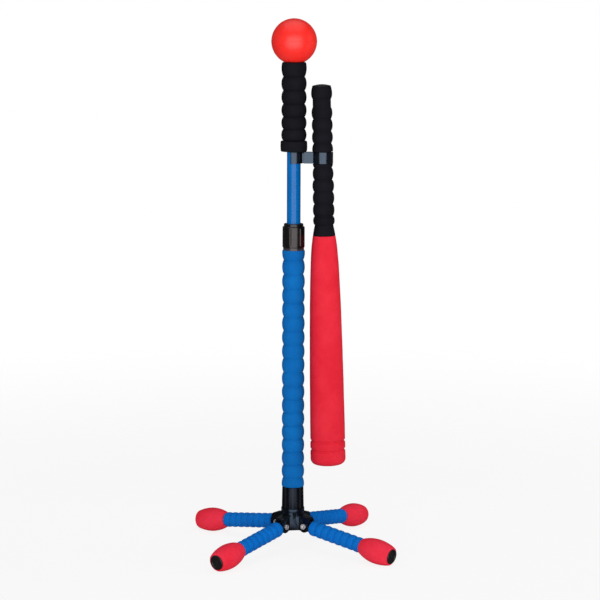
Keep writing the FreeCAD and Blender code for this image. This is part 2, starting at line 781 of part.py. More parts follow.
def make_top_cap():
    body = body_named("top_cap_body")
    plug = upper_tube_bore - size.close_gap
    spun(body, "top_cap_plug", [
        (0, -size.top_cap_plug_length), (plug, -size.top_cap_plug_length), (plug, size.close_gap),
        (size.upper_tube_radius, size.close_gap), (size.upper_tube_radius, size.top_cap_thickness),
        (0, size.top_cap_thickness)])
    place(keep(body, "tube_top_cap"), (0, 0, upper_tube_top))


def make_tee_collar():
    body = body_named("tee_collar_body")
    bore = size.upper_tube_radius + size.close_gap
    radius, edge = size.upper_tube_radius + size.tee_collar_wall, size.tee_collar_edge
    top = size.tee_collar_height
    spun(body, "tee_collar_ring", [
        (bore, 0), (radius - edge, 0, edge), (radius, edge), (radius, top - edge, edge),
        (radius - edge, top), (bore, top)])
    place(keep(body, "tee_collar"), (0, 0, tee_collar_bottom))


def make_tee_sleeve():
    """The foam tee: stacked lobes with a dish in the top that the ball sits in."""
    body = body_named("tee_sleeve_body")
    bore = size.upper_tube_radius + size.close_gap
    lobes(body, "tee_lobe", bore, size.upper_tube_radius + size.tee_foam_wall, size.tee_lobe_rise,
          size.tee_lobe_pitch, size.tee_lobes)
    dish_radius = size.ball_radius + size.air_gap
    middle = ball_middle - tee_sleeve_bottom
    dish = primitive("Part::Sphere", "tee_dish", (0, 0, middle), Radius=dish_radius)
    place(keep(less("tee_sleeve_cut", body, dish), "tee_foam_sleeve"), (0, 0, tee_sleeve_bottom))


def make_ball():
    ball = primitive("Part::Sphere", "ball_sphere", (0, 0, ball_middle), Radius=size.ball_radius)
    keep(ball, "ball")


# ---------------------------------------------------------------- clip

def make_clip():
    """A double clip: one C snaps round the pole, and a deeper one opens backwards for the bat.

    A web and then a thicker block join the two.
    """
    high = size.clip_height
    tube_bore = size.upper_tube_radius + size.running_gap
    tube_outer = tube_bore + size.clip_tube_wall
    bat_outer = size.clip_bat_bore + size.clip_bat_wall
    bat_x = size.bat_offset
    room = as_size(1)
    block_start, block_end = size.clip_block_start, bat_x - size.clip_bat_bore - size.clip_bat_wall / 2
    solid = fused(
        "clip_solid",
        cylinder("clip_tube_ring", tube_outer, high),
        cylinder("clip_bat_ring", bat_outer, high, (bat_x, 0, 0)),
        box("clip_bat_arms", (bat_x - bat_outer, 0, 0), (bat_outer * 2, size.clip_bat_arm, high)),
        box("clip_web", (0, size.clip_web_width / -2, 0), (block_end, size.clip_web_width, high)),
        box("clip_block", (block_start, size.clip_block_width / -2, 0),
            (block_end - block_start, size.clip_block_width, high)))
    clip = less(
        "clip_cut", solid,
        cylinder("clip_tube_bore", tube_bore, high + room * 2, (0, 0, -room)),
        cylinder("clip_bat_hole", size.clip_bat_bore, high + room * 2, (bat_x, 0, -room)),
        box("clip_tube_mouth", (-tube_outer * 2, -tube_outer, -room),
            (tube_outer * 2 - size.clip_mouth_reach, tube_outer * 2, high + room * 2)),
        box("clip_bat_mouth", (bat_x - size.clip_bat_bore, 0, -room),
            (size.clip_bat_bore * 2, bat_outer * 2, high + room * 2)),
        box("clip_bat_back", (bat_x - bat_outer - room, size.clip_bat_arm, -room),
            (bat_outer * 2 + room * 2, bat_outer, high + room * 2)))
    clip.Refine = True
    place(keep(clip, "bat_clip"), (0, 0, clip_bottom))


# ---------------------------------------------------------------- bat

def on_bat(piece):
    """The bat hangs knob up from the clip's middle, and leans a little away from the pole."""
    return place(piece, (size.bat_offset, 0, clip_middle), (0, -size.bat_tilt, 0))


handle_groove = size.clip_bat_bore
knob_radius = handle_groove + size.knob_rise
handle_end_radius = handle_groove + size.handle_cone_rise
bat_top = size.bat_above_clip - size.knob_cap_thickness
handle_lobes_top = bat_top - size.knob_length - size.handle_neck_length
handle_lobes_bottom = handle_lobes_top - size.handle_lobe_pitch * size.handle_lobes
barrel_top = handle_lobes_bottom - size.handle_cone_length
barrel_bottom = barrel_top - size.barrel_length
core_bottom = bat_top - size.bat_core_length


def make_handle():
    """The foam handle: knob, neck, stacked lobes and cone, nipped in where the clip holds it."""
    body = body_named("handle_body")
    bore = size.bat_core_radius + size.close_gap
    lobes(body, "handle_lobe", bore, handle_groove, size.handle_lobe_rise,
          size.handle_lobe_pitch, size.handle_lobes, handle_lobes_bottom)
    neck_top = handle_lobes_top + size.handle_neck_length
    spun(body, "knob", [
        (bore, handle_lobes_top), (handle_groove, handle_lobes_top),
        (handle_groove, neck_top), (knob_radius, neck_top),
        (knob_radius, bat_top), (bore, bat_top)])
    spun(body, "cone", [
        (bore, barrel_top), (handle_end_radius, barrel_top),
        (handle_groove, handle_lobes_bottom), (bore, handle_lobes_bottom)])
    half = size.clip_height / 2 + size.clip_waist_room
    waist = size.clip_bat_bore - size.clip_waist_gap
    outside = handle_groove + size.handle_lobe_rise * 2
    groove(body, "clip_waist", [(waist, -half), (outside, -half),
                                (outside, half), (waist, half)])
    on_bat(keep(body, "bat_handle_foam"))


def make_barrel():
    """The foam barrel: two long curves, a rounded end and two shallow grooves, bored for the core."""
    body = body_named("barrel_body")
    bore = size.bat_core_radius + size.close_gap
    shoulder = barrel_top - size.barrel_shoulder_length
    rounding = size.barrel_end_rounding
    end = size.barrel_end_radius
    spun(body, "barrel", [
        (0, barrel_bottom), (end - rounding, barrel_bottom, rounding),
        (end, barrel_bottom + rounding), (size.barrel_shoulder_radius, shoulder,
                                          size.barrel_shoulder_arc),
        (handle_end_radius + size.barrel_start_rise, barrel_top), (bore, barrel_top),
        (bore, core_bottom - size.close_gap), (0, core_bottom - size.close_gap)])
    depth, width = size.barrel_groove_depth, size.barrel_groove_width
    low = barrel_bottom + size.barrel_groove_from_end
    cut = groove(body, "barrel_groove", [
        (end - depth, low), (end + depth, low - width / 2), (end + depth, low + width / 2)])
    repeated_up(body, cut, size.barrel_groove_spacing, Size(2.0, "2"))
    on_bat(keep(body, "bat_barrel_foam"))


def make_bat_core():
    body = body_named("bat_core_body")
    ring(body, "bat_core_wall", bat_core_bore, size.bat_core_radius, core_bottom, bat_top)
    on_bat(keep(body, "bat_core_tube"))


def make_knob_cap():
    body = body_named("knob_cap_body")
    plug = bat_core_bore - size.close_gap
    low = bat_top - size.knob_cap_plug_length
    top = bat_top + size.knob_cap_thickness
    spun(body, "knob_cap_plug", [
        (0, low), (plug, low), (plug, bat_top), (size.knob_cap_radius, bat_top),
        (size.knob_cap_radius, top), (0, top)])
    on_bat(keep(body, "bat_knob_cap"))


# ---------------------------------------------------------------- build, check and write

make_hub()
make_fasteners()
make_legs()
make_base_nut()
make_lower_tube()
make_lower_foam()
make_lock_collar()
make_lock_nut()
make_upper_tube()
make_guide_bush()
make_top_cap()
make_tee_collar()
make_tee_sleeve()
make_ball()
make_clip()
make_handle()
make_barrel()
make_bat_core()
make_knob_cap()
doc.recompute()

for item in doc.Objects:
    if "Invalid" in item.State or "Error" in item.State:
        raise RuntimeError(f"{item.Name} failed: {item.State}")
for node in NODES:
    if node.Shape.isNull() or not node.Shape.isValid():
        raise RuntimeError(f"{node.Label} has no valid shape")

os.makedirs("parts", exist_ok=True)
for node in NODES:
    node.Shape.exportStep(f"parts/{node.Label}.step")
    extent = node.Shape.BoundBox
    print(f"{node.Label:22s} solids {len(node.Shape.Solids)}  volume {node.Shape.Volume / 1000:8.2f} cm3"
          f"  z {extent.ZMin:7.2f} to {extent.ZMax:7.2f}")
print(f"pivot height {pivot_z.value:.3f}, clip middle {clip_middle.value:.3f},"
      f" ball middle {ball_middle.value:.3f}")
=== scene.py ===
# %% [markdown]
# # A foam batting tee
# The real toy is a telescoping steel pole on four fold-down legs. A foam ball waits on a foam cup
# at the top, and a foam bat hangs beside the pole in a plastic double clip. The tubes, nuts and
# joints come ready made from the engineering model. This lesson gives every part the skin that the
# eye sees: soft foam with its beads and rims, moulded plastic with broken edges, and enamelled steel.
# Everything is in metres, and each piece is placed from the engineering model's own boxes and joints.

# %% Load the engineering model
import json
import math

import bpy
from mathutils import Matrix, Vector


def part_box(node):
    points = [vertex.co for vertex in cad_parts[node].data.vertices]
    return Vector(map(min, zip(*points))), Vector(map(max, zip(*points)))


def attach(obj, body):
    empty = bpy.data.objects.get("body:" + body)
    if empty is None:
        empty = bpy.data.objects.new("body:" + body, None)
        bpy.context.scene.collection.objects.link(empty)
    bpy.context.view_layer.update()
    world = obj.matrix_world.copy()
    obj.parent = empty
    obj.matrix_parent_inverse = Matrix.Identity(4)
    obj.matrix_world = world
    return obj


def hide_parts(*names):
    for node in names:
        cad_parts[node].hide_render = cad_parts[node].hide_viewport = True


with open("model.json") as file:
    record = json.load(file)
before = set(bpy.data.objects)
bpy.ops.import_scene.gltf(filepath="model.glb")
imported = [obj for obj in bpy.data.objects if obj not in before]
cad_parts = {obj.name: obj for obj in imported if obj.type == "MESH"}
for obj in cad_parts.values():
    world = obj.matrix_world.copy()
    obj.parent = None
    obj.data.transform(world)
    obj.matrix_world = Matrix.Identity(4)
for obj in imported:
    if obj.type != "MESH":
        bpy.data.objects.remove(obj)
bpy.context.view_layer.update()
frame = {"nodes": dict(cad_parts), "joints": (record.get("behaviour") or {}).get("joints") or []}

MM = 0.001
LEGS = ("fr", "br", "bl", "fl")
joints = {joint["name"]: joint for joint in frame["joints"]}

# %% [markdown]
# ## Modelling helpers
# Most of this toy is round: foam is ground on a lathe, and the caps and nuts come out of turned
# moulds. So the main helper works like a lathe. It starts from a tiny plane merged to one point,
# extrudes that point along an outline, and spins the line round the vertical axis. The other way
# would be to squeeze cylinders ring by ring, but an outline is easier to read and to correct.

# %% Select one piece, move it into its mesh, shade it
def pick(piece):
    """Make one piece the only one selected, and the active one."""
    bpy.ops.object.select_all(action="DESELECT")
    piece.select_set(True)
    bpy.context.view_layer.objects.active = piece


def settle(piece, position=(0, 0, 0), turn=(0, 0, 0)):
    """Move and turn a piece, then put its place into its mesh."""
    pick(piece)
    piece.location = Vector(piece.location) + Vector(position)
    piece.rotation_euler = turn
    bpy.ops.object.transform_apply(location=True, rotation=True, scale=True)
    return piece


def smooth(piece, sharper_than=45):
    """Smooth shading that keeps the edges sharper than an angle."""
    pick(piece)
    bpy.ops.object.shade_smooth_by_angle(angle=math.radians(sharper_than))
    return piece


def modify(piece, kind, **settings):
    """Add a modifier, set it and apply it."""
    pick(piece)
    modifier = piece.modifiers.new(kind, kind)
    for name, value in settings.items():
        setattr(modifier, name, value)
    bpy.ops.object.modifier_apply(modifier=modifier.name)
    return piece


# %% The lathe
def turned(name, outline, steps=96):
    """Spin an outline of (radius, height) points round the vertical axis into a closed solid."""
    bpy.ops.object.select_all(action="DESELECT")
    bpy.ops.mesh.primitive_plane_add(size=MM, location=(outline[0][0], 0, outline[0][1]))
    piece = bpy.context.object
    piece.name = name
    bpy.ops.object.mode_set(mode="EDIT")
    bpy.ops.mesh.merge(type="CENTER")
    for here, there in zip(outline, outline[1:]):
        step = (there[0] - here[0], 0, there[1] - here[1])
        bpy.ops.mesh.extrude_region_move(TRANSFORM_OT_translate={"value": step})
    bpy.ops.mesh.select_all(action="SELECT")
    bpy.ops.mesh.spin(steps=steps, angle=math.tau, center=(0, 0, 0), axis=(0, 0, 1))
    bpy.ops.mesh.select_all(action="SELECT")
    bpy.ops.mesh.remove_doubles(threshold=1e-6)
    bpy.ops.mesh.normals_make_consistent(inside=False)
    bpy.ops.object.mode_set(mode="OBJECT")
    return settle(piece)


def rounded(corners, count=5):
    """Closed outline of (radius, height, rounding) corners, each rounding drawn as a small arc."""
    points = []
    for index, (radius, height, rounding) in enumerate(corners):
        here = Vector((radius, height))
        if not rounding:
            points.append(here)
            continue
        back = (Vector(corners[index - 1][:2]) - here).normalized()
        on = (Vector(corners[(index + 1) % len(corners)][:2]) - here).normalized()
        half = back.angle(on) / 2
        centre = here + (back + on).normalized() * (rounding / math.sin(half))
        first = here + back * (rounding / math.tan(half)) - centre
        last = here + on * (rounding / math.tan(half)) - centre
        start = math.atan2(first.y, first.x)
        sweep = (math.atan2(last.y, last.x) - start + math.pi) % math.tau - math.pi
        for step in range(count + 1):
            angle = start + sweep * step / count
            points.append(centre + Vector((math.cos(angle), math.sin(angle))) * rounding)
    return [tuple(point) for point in points] + [tuple(points[0])]


# %% [markdown]
# ## How foam is shaped
# Ground foam has no sharp edge anywhere. Its beads are fuller than half circles, its valleys are
# tight, and each cut end has a small worn rim. So a sleeve is described by a radius for each height,
# and one function adds the rims and the bore. A very weak cloud displacement then takes away the
# machine-made look, because foam always gives a little where it was gripped and packed.

# %% Foam outlines
RIM_ANGLES = (0, 12, 25, 40, 60, 90)


def bead(share, fullness=0.85):
    """How far a bead stands out, 0 to 1, at a share of its height between its two valleys."""
    return (1 - abs(2 * share - 1) ** 2.1) ** fullness


def beaded(valleys, valley_radius, rise):
    """Radius at each height of a sleeve with a bead between each two valleys, listed upwards."""
    def radius_at(height):
        for low, high in zip(valleys, valleys[1:]):
            if low <= height <= high:
                return valley_radius + rise * bead((height - low) / (high - low))
        return valley_radius
    return radius_at


def bead_heights(valleys, samples=12):
    """Heights to sample, closer together near the valleys."""
    return [low + (high - low) * (1 - math.cos(math.pi * step / samples)) / 2
            for low, high in zip(valleys, valleys[1:]) for step in range(samples)] + [valleys[-1]]


def skin(radius_at, heights, low, high, rim):
    """The outside of a foam piece from low to high, with a small quarter round at both ends."""
    rims = [rim * (1 - math.cos(math.radians(angle))) for angle in RIM_ANGLES]
    middle = [height for height in heights if low + rim < height < high - rim]
    outside = []
    for height in sorted([low + r for r in rims] + middle + [high - r for r in rims]):
        inset = max(rim - (height - low), rim - (high - height), 0)
        drop = rim - math.sqrt(max(rim * rim - inset * inset, 0))
        outside.append((radius_at(height) - drop, height))
    return outside


def sleeve(radius_at, heights, low, high, bore, rim):
    outside = skin(radius_at, heights, low, high, rim)
    return [(bore, low)] + outside + [(bore, high), (bore, low)]


def every(low, high, step):
    count = round((high - low) / step)
    return [low + (high - low) * index / count for index in range(count + 1)]


# %% Uneven foam
foam_clouds = bpy.data.textures.new("foam_clouds", "CLOUDS")
foam_clouds.noise_scale = 22 * MM
foam_clouds.noise_depth = 1


def uneven(piece, height):
    """Push the skin in and out by a fraction of a millimetre, as handled foam is."""
    return modify(piece, "DISPLACE", texture=foam_clouds, texture_coords="LOCAL",
                  strength=height, mid_level=0.5)


# %% [markdown]
# ## Colours and nodes
# Colours are written as the hex values that a paint shop would quote, and one function turns them
# into the linear light that the renderer mixes. One small function adds a node with its settings and
# its links, so that a material below reads from top to bottom like a recipe.

# %% Colour and node helpers
def linear(hex_colour):
    """Linear RGBA of an sRGB hex colour."""
    channels = [int(hex_colour[i:i + 2], 16) / 255 for i in (1, 3, 5)]
    return [c / 12.92 if c <= 0.04045 else ((c + 0.055) / 1.055) ** 2.4 for c in channels] + [1.0]


def add(tree, kind, inputs=None, **settings):
    """Add a node, set it, and fill its inputs with numbers or with other nodes' outputs."""
    node = tree.nodes.new(kind)
    for name, value in settings.items():
        setattr(node, name, value)
    for socket, value in (inputs or {}).items():
        if isinstance(value, bpy.types.NodeSocket):
            tree.links.new(value, node.inputs[socket])
        else:
            node.inputs[socket].default_value = value
    return node


def recipe(name):
    """A new material: its node tree, its shader and its object coordinates."""
    material = bpy.data.materials.new(name)
    material.use_nodes = True
    tree = material.node_tree
    shader = tree.nodes["Principled BSDF"]
    place = add(tree, "ShaderNodeTexCoord").outputs["Object"]
    return material, tree, shader, place


def per_size(size_mm):
    """Texture scale that makes a pattern's features about that many millimetres."""
    return 1 / (size_mm * MM)


def two_tone(tree, factor, dark, light, low=0.35, high=0.65):
    """A colour that goes from dark to light as a factor goes from low to high."""
    ramp = add(tree, "ShaderNodeValToRGB", {"Fac": factor})
    ramp.color_ramp.elements[0].position, ramp.color_ramp.elements[1].position = low, high
    ramp.color_ramp.elements[0].color, ramp.color_ramp.elements[1].color = linear(dark), linear(light)
    return ramp.outputs["Color"]


# %% [markdown]
# ## Closed-cell foam
# The sleeves, bat and feet are closed-cell foam: polyethylene and EVA blown full of bubbles and then
# ground to shape. The bubbles cut open at the surface leave pores of about half a millimetre, drawn
# here at 1 mm so that they show. Each pore is pressed in as a bump, and its colour is darkened towards
# its middle, which is painted shade in the pit. Blocks of foam are never one even colour. Foam scatters
# light, so its highlight is broad and weak. The dyed skins differ only in colour and gloss, and one
# function makes them all. The leg foam is a slightly brighter blue than the pole sleeve.

# %% Foam material
def closed_cell_foam(name, dark, light, roughness, gloss, pore_mm=1.0, pore_depth_mm=0.12):
    material, tree, shader, place = recipe(name)
    blotches = add(tree, "ShaderNodeTexNoise", {"Vector": place, "Scale": per_size(38),
                                                "Detail": 4.0, "Roughness": 0.6})
    pores = add(tree, "ShaderNodeTexVoronoi", {"Vector": place, "Scale": per_size(pore_mm)})
    grain = add(tree, "ShaderNodeTexNoise", {"Vector": place, "Scale": per_size(3.5), "Detail": 3.0})
    colour = two_tone(tree, blotches.outputs["Fac"], dark, light)
    # Painted shade in the pores: the colour darkens by up to a fifth towards each pit's middle.
    pore_shade = add(tree, "ShaderNodeMapRange", {"Value": pores.outputs["Distance"], "From Min": 0.0,
                                                 "From Max": 0.35, "To Min": 0.82, "To Max": 1.0})
    pore_shaded_colour = add(tree, "ShaderNodeVectorMath", {0: colour, "Scale": pore_shade.outputs["Result"]},
                   operation="SCALE")
    rough = add(tree, "ShaderNodeMapRange", {"Value": grain.outputs["Fac"],
                                             "To Min": roughness - 0.07, "To Max": roughness + 0.07})
    pitted = add(tree, "ShaderNodeBump", {"Height": pores.outputs["Distance"], "Strength": 0.35,
                                          "Distance": pore_depth_mm * MM})
    rippled = add(tree, "ShaderNodeBump", {"Height": grain.outputs["Fac"], "Strength": 0.45,
                                           "Distance": 0.5 * MM, "Normal": pitted.outputs["Normal"]})
    tree.links.new(pore_shaded_colour.outputs["Vector"], shader.inputs["Base Color"])
    tree.links.new(rough.outputs["Result"], shader.inputs["Roughness"])
    tree.links.new(rippled.outputs["Normal"], shader.inputs["Normal"])
    shader.inputs["Specular IOR Level"].default_value = gloss
    shader.inputs["IOR"].default_value = 1.49
    print("foam:", name)
    return material


blue_foam = closed_cell_foam("blue_sleeve_foam", "#0061ac", "#026ab6", 0.75, 0.12)
leg_foam = closed_cell_foam("blue_leg_foam", "#006ac4", "#0272ce", 0.75, 0.12)
black_foam = closed_cell_foam("black_grip_foam", "#0e0e14", "#13131a", 0.75, 0.10)
red_foam = closed_cell_foam("red_barrel_foam", "#de2134", "#e62b3d", 0.70, 0.12)
foot_foam = closed_cell_foam("red_foot_foam", "#f02a40", "#f7364e", 0.70, 0.12)

# %% [markdown]
# The ball is a skinned foam ball. Its mould leaves a smooth, slightly glossy skin with very fine
# pits, so it takes the same recipe with smaller pores and a tighter highlight.

# %% Ball skin
ball_skin = closed_cell_foam("red_ball_skin", "#f42018", "#f92a22", 0.38, 0.5, pore_mm=0.8,
                             pore_depth_mm=0.05)

# %% [markdown]
# ## Enamelled steel tube
# The tubes are thin steel, sprayed blue and baked. Baked enamel is a coloured layer under its own
# gloss, so the shader has a clear coat. Spray leaves orange peel, a ripple about 3 mm across, and
# sliding the pole draws faint lengthwise rubs, which are noise stretched twenty times along the tube.

# %% Enamel material
def baked_enamel(name, dark, light):
    material, tree, shader, place = recipe(name)
    clouds = add(tree, "ShaderNodeTexNoise", {"Vector": place, "Scale": per_size(30), "Detail": 2.0})
    peel = add(tree, "ShaderNodeTexNoise", {"Vector": place, "Scale": per_size(3), "Detail": 1.0})
    along = add(tree, "ShaderNodeMapping", {"Vector": place, "Scale": (1.0, 1.0, 0.05)})
    rubs = add(tree, "ShaderNodeTexNoise", {"Vector": along.outputs["Vector"],
                                            "Scale": per_size(1.2), "Detail": 2.0})
    rough = add(tree, "ShaderNodeMapRange", {"Value": rubs.outputs["Fac"], "From Min": 0.3,
                                             "From Max": 0.75, "To Min": 0.24, "To Max": 0.4})
    ripple = add(tree, "ShaderNodeBump", {"Height": peel.outputs["Fac"], "Strength": 0.12,
                                          "Distance": 0.1 * MM})
    tree.links.new(two_tone(tree, clouds.outputs["Fac"], dark, light), shader.inputs["Base Color"])
    tree.links.new(rough.outputs["Result"], shader.inputs["Roughness"])
    tree.links.new(ripple.outputs["Normal"], shader.inputs["Normal"])
    shader.inputs["Specular IOR Level"].default_value = 0.05
    shader.inputs["Coat Weight"].default_value = 0.45
    shader.inputs["Coat Roughness"].default_value = 0.05
    print("enamel:", name)
    return material


enamel = baked_enamel("blue_baked_enamel", "#0060a8", "#0068b4")

# %% [markdown]
# ## Moulded plastics
# The hub and the nuts are black polypropylene from a spark-textured mould: a fine grain, drawn here
# at 0.8 mm, and edges that handling has polished and greyed. Pointiness finds those edges. The lower
# nut is the least glossy, so its flutes stay dark. The clip is a harder, glossier nylon with the faint
# flow lines of its injection gate, and the caps are soft polyethylene, waxy and slightly cloudy. The
# sheen is the colour of the surface's own reflection, bluish on most of the mouldings.

# %% Moulded plastic material
def moulded_plastic(name, colour, worn, roughness, gloss, grain_mm, grain_depth_mm,
                    sheen="#ffffff"):
    material, tree, shader, place = recipe(name)
    grain = add(tree, "ShaderNodeTexNoise", {"Vector": place, "Scale": per_size(grain_mm),
                                             "Detail": 2.0, "Roughness": 0.7})
    flow = add(tree, "ShaderNodeTexNoise", {"Vector": place, "Scale": per_size(14), "Detail": 3.0,
                                            "Distortion": 1.5})
    edges = add(tree, "ShaderNodeNewGeometry").outputs["Pointiness"]
    wear = add(tree, "ShaderNodeMapRange", {"Value": edges, "From Min": 0.52, "From Max": 0.62})
    handled = add(tree, "ShaderNodeMath", {0: wear.outputs["Result"], 1: flow.outputs["Fac"]},
                  operation="MULTIPLY")
    tone = two_tone(tree, handled.outputs["Value"], colour, worn, 0.05, 0.75)
    rough = add(tree, "ShaderNodeMapRange", {"Value": flow.outputs["Fac"], "From Min": 0.3,
                                             "From Max": 0.7, "To Min": roughness - 0.06,
                                             "To Max": roughness + 0.06})
    bump = add(tree, "ShaderNodeBump", {"Height": grain.outputs["Fac"], "Strength": 0.3,
                                        "Distance": grain_depth_mm * MM})
    tree.links.new(tone, shader.inputs["Base Color"])
    tree.links.new(rough.outputs["Result"], shader.inputs["Roughness"])
    tree.links.new(bump.outputs["Normal"], shader.inputs["Normal"])
    shader.inputs["Specular IOR Level"].default_value = gloss
    shader.inputs["Specular Tint"].default_value = linear(sheen)
    print("plastic:", name)
    return material


hub_plastic = moulded_plastic("black_polypropylene", "#050608", "#1b2027", 0.26, 0.5, 0.8, 0.06,
                              sheen="#bcd8ff")
nut_plastic = moulded_plastic("grey_black_polypropylene", "#0a090b", "#454145", 0.22, 0.5, 0.8, 0.05,
                              sheen="#fff4f4")
grip_plastic = moulded_plastic("fine_grained_polypropylene", "#070709", "#24262b", 0.28, 0.2, 0.8,
                               0.06, sheen="#ccdcff")
clip_nylon = moulded_plastic("black_gloss_nylon", "#060709", "#20252b", 0.2, 0.8, 1.5, 0.02,
                             sheen="#c6e0ff")
cap_plastic = moulded_plastic("black_polyethylene", "#161416", "#282528", 0.4, 0.45, 1.0, 0.05)
inner_plastic = moulded_plastic("natural_polyethylene", "#cfcec6", "#e2e1da", 0.45, 0.4, 1.2, 0.05)

# %% [markdown]
# ## Zinc-plated steel
# Bolts and nuts are plated: pale metal, a little uneven, with roughness that changes in small
# patches where the plating has dulled. A dull film scatters part of the light, so the shader is
# three quarters metal.

# %% Zinc plating
def zinc_plating(name, dull, bright):
    material, tree, shader, place = recipe(name)
    patches = add(tree, "ShaderNodeTexNoise", {"Vector": place, "Scale": per_size(2.5), "Detail": 4.0})
    rough = add(tree, "ShaderNodeMapRange", {"Value": patches.outputs["Fac"], "From Min": 0.3,
                                             "From Max": 0.7, "To Min": 0.35, "To Max": 0.6})
    tree.links.new(two_tone(tree, patches.outputs["Fac"], dull, bright), shader.inputs["Base Color"])
    tree.links.new(rough.outputs["Result"], shader.inputs["Roughness"])
    shader.inputs["Metallic"].default_value = 0.75
    print("metal:", name)
    return material


zinc = zinc_plating("zinc_plated_steel", "#d2ccc8", "#efece9")

# %% [markdown]
# ## Joining a skin to its part
# Every finished piece gets a material and rides on the body that it belongs to, and the engineering
# solid that it covers is hidden.

# %% Finish a piece
def fit(piece, material, slot, body, *nodes, fill=None):
    """Give a piece its finish and its body, and hide the solids that it stands for."""
    piece.data.materials.clear()
    piece.data.materials.append(material)
    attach(piece, body)
    if nodes:
        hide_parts(*nodes)
    print(f"{piece.name}: {len(piece.data.polygons)} faces on {body}")
    return piece


def height_of(node):
    low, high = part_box(node)
    return low.z, high.z


# %% [markdown]
# ## The lower sleeve
# Eighteen beads of blue foam cover the lower tube. The grinding wheel steps down the sleeve a little
# unevenly, so the beads are taller at the top, and the first and last are cut short by the ends.

# %% Lower foam sleeve
low, high = height_of("lower_foam_sleeve")
TOP_BEAD = 24.35
BEAD_SHRINK = 0.135
valleys = [high - 16.7 * MM]
for step in range(16):
    valleys.append(valleys[-1] - (TOP_BEAD - BEAD_SHRINK * step) * MM)
valleys = [valleys[-1] - 22 * MM] + valleys[::-1] + [valleys[0] + 24 * MM]
lower_radius = beaded(valleys, 16.3 * MM, 2.8 * MM)
lower_sleeve = turned("lower_sleeve", sleeve(lower_radius, bead_heights(valleys), low, high,
                                             14.4 * MM, 1.6 * MM))
smooth(uneven(lower_sleeve, 0.35 * MM), 75)
fit(lower_sleeve, blue_foam, "blue_foam", "base", "lower_foam_sleeve", fill=0.9)

# %% [markdown]
# ## The foam tee
# The black cup at the top has six beads, taller towards the top, and a shallow dish ground to the
# ball. The dish is part of the same outline: over the rim, down the ball's own curve, to the tube.

# %% Tee sleeve
low, high = height_of("tee_foam_sleeve")
ball_low, ball_high = height_of("ball")
ball_centre = (ball_low + ball_high) / 2
ball_radius = (ball_high - ball_low) / 2
tee_bore = 11.9 * MM
dish_radius = ball_radius + 0.3 * MM


def dish_at(radius):
    return ball_centre - math.sqrt(dish_radius ** 2 - radius ** 2)


valleys = [low]
for step in range(6):
    valleys.append(valleys[-1] + (high - low) * (19.6 + 0.84 * step) / 130.2)
cup_valleys = valleys[:-1] + [valleys[-1] + 4.5 * MM]
cup_outside = skin(beaded(cup_valleys, 17.7 * MM, 3.3 * MM), bead_heights(cup_valleys), low, high,
                   1.6 * MM)
dish = [(radius * MM, dish_at(radius * MM)) for radius in (17, 16, 14.5, 13)]
cup = [(tee_bore, low)] + cup_outside + dish + [(tee_bore, dish_at(tee_bore)), (tee_bore, low)]
tee_sleeve = turned("tee_cup", cup)
smooth(uneven(tee_sleeve, 0.25 * MM), 75)
fit(tee_sleeve, black_foam, "black_foam", "pole", "tee_foam_sleeve", fill=0.9)

# %% [markdown]
# ## The tee's collar
# A plain rubber-foam ring stops the tee from sliding down. Its faces bulge slightly, because it was
# cut from a tube and stretched on to the steel.

# %% Tee collar
low, high = height_of("tee_collar")
collar_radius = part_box("tee_collar")[1].x


def collar_bulge(height):
    share = (height - low) / (high - low)
    return collar_radius - 0.5 * MM * (2 * share - 1) ** 2


tee_ring = turned("tee_ring", sleeve(collar_bulge, every(low, high, 1.5 * MM), low, high,
                                     tee_bore, 1.8 * MM))
smooth(uneven(tee_ring, 0.15 * MM), 75)
fit(tee_ring, black_foam, "black_foam", "pole", "tee_collar", fill=0.95)

# %% [markdown]
# ## The ball
# A skinned foam ball is moulded in two halves. What gives that away is a parting line round its
# middle, a ridge a fifth of a millimetre high, so the outline is a half circle with a tiny swell.

# %% Ball
def ball_surface(latitude):
    """Radius of the skin at a latitude in degrees, with the parting line at the equator."""
    return ball_radius - 0.2 * MM + 0.2 * MM * math.exp(-(latitude / 0.8) ** 2)


latitudes = sorted(set([-90 + 3 * step for step in range(61)]) | {-1.6, -0.8, -0.4, 0.4, 0.8, 1.6})
half_circle = [(ball_surface(lat) * math.cos(math.radians(lat)),
                ball_centre + ball_surface(lat) * math.sin(math.radians(lat))) for lat in latitudes]
half_circle[0] = (0, half_circle[0][1])
half_circle[-1] = (0, half_circle[-1][1])
foam_ball = turned("foam_ball", half_circle, steps=128)
smooth(foam_ball, 75)
fit(foam_ball, ball_skin, "ball_foam", "ball", "ball", fill=1.0)

# %% [markdown]
# ## The bat
# The bat is modelled upright with its own origin where the clip grips it, and then moved and leaned
# as it hangs. The handle is one outline made of several forms: a rounded knob, a plain neck, ten
# beads, and a flare into the barrel. Where the clip squeezes it, the foam is nipped in and swells
# again just above and below.

# %% Where the bat hangs
clip_low, clip_high = height_of("bat_clip")
clip_middle = (clip_low + clip_high) / 2
clip_half = (clip_high - clip_low) / 2
BAT_OFFSET = 48.3 * MM
BAT_LEAN = math.radians(-1.3)


def hang(piece):
    """Put a piece of the bat, made upright about the clip, into its place."""
    return settle(piece, (BAT_OFFSET, 0, clip_middle), (0, BAT_LEAN, 0))


# %% Handle
BAT_TOP = 120.1 * MM
KNOB_LOW = 97.6 * MM
BEADS_TOP = 84.8 * MM
BEADS_LOW = -113 * MM
HANDLE_LOW = -130.8 * MM
NIP = 14.5 * MM
handle_valleys = [BEADS_LOW] + every(BEADS_TOP - 9 * 20.27 * MM, BEADS_TOP, 20.27 * MM)
handle_beads = beaded(handle_valleys, 14.6 * MM, 2.8 * MM)


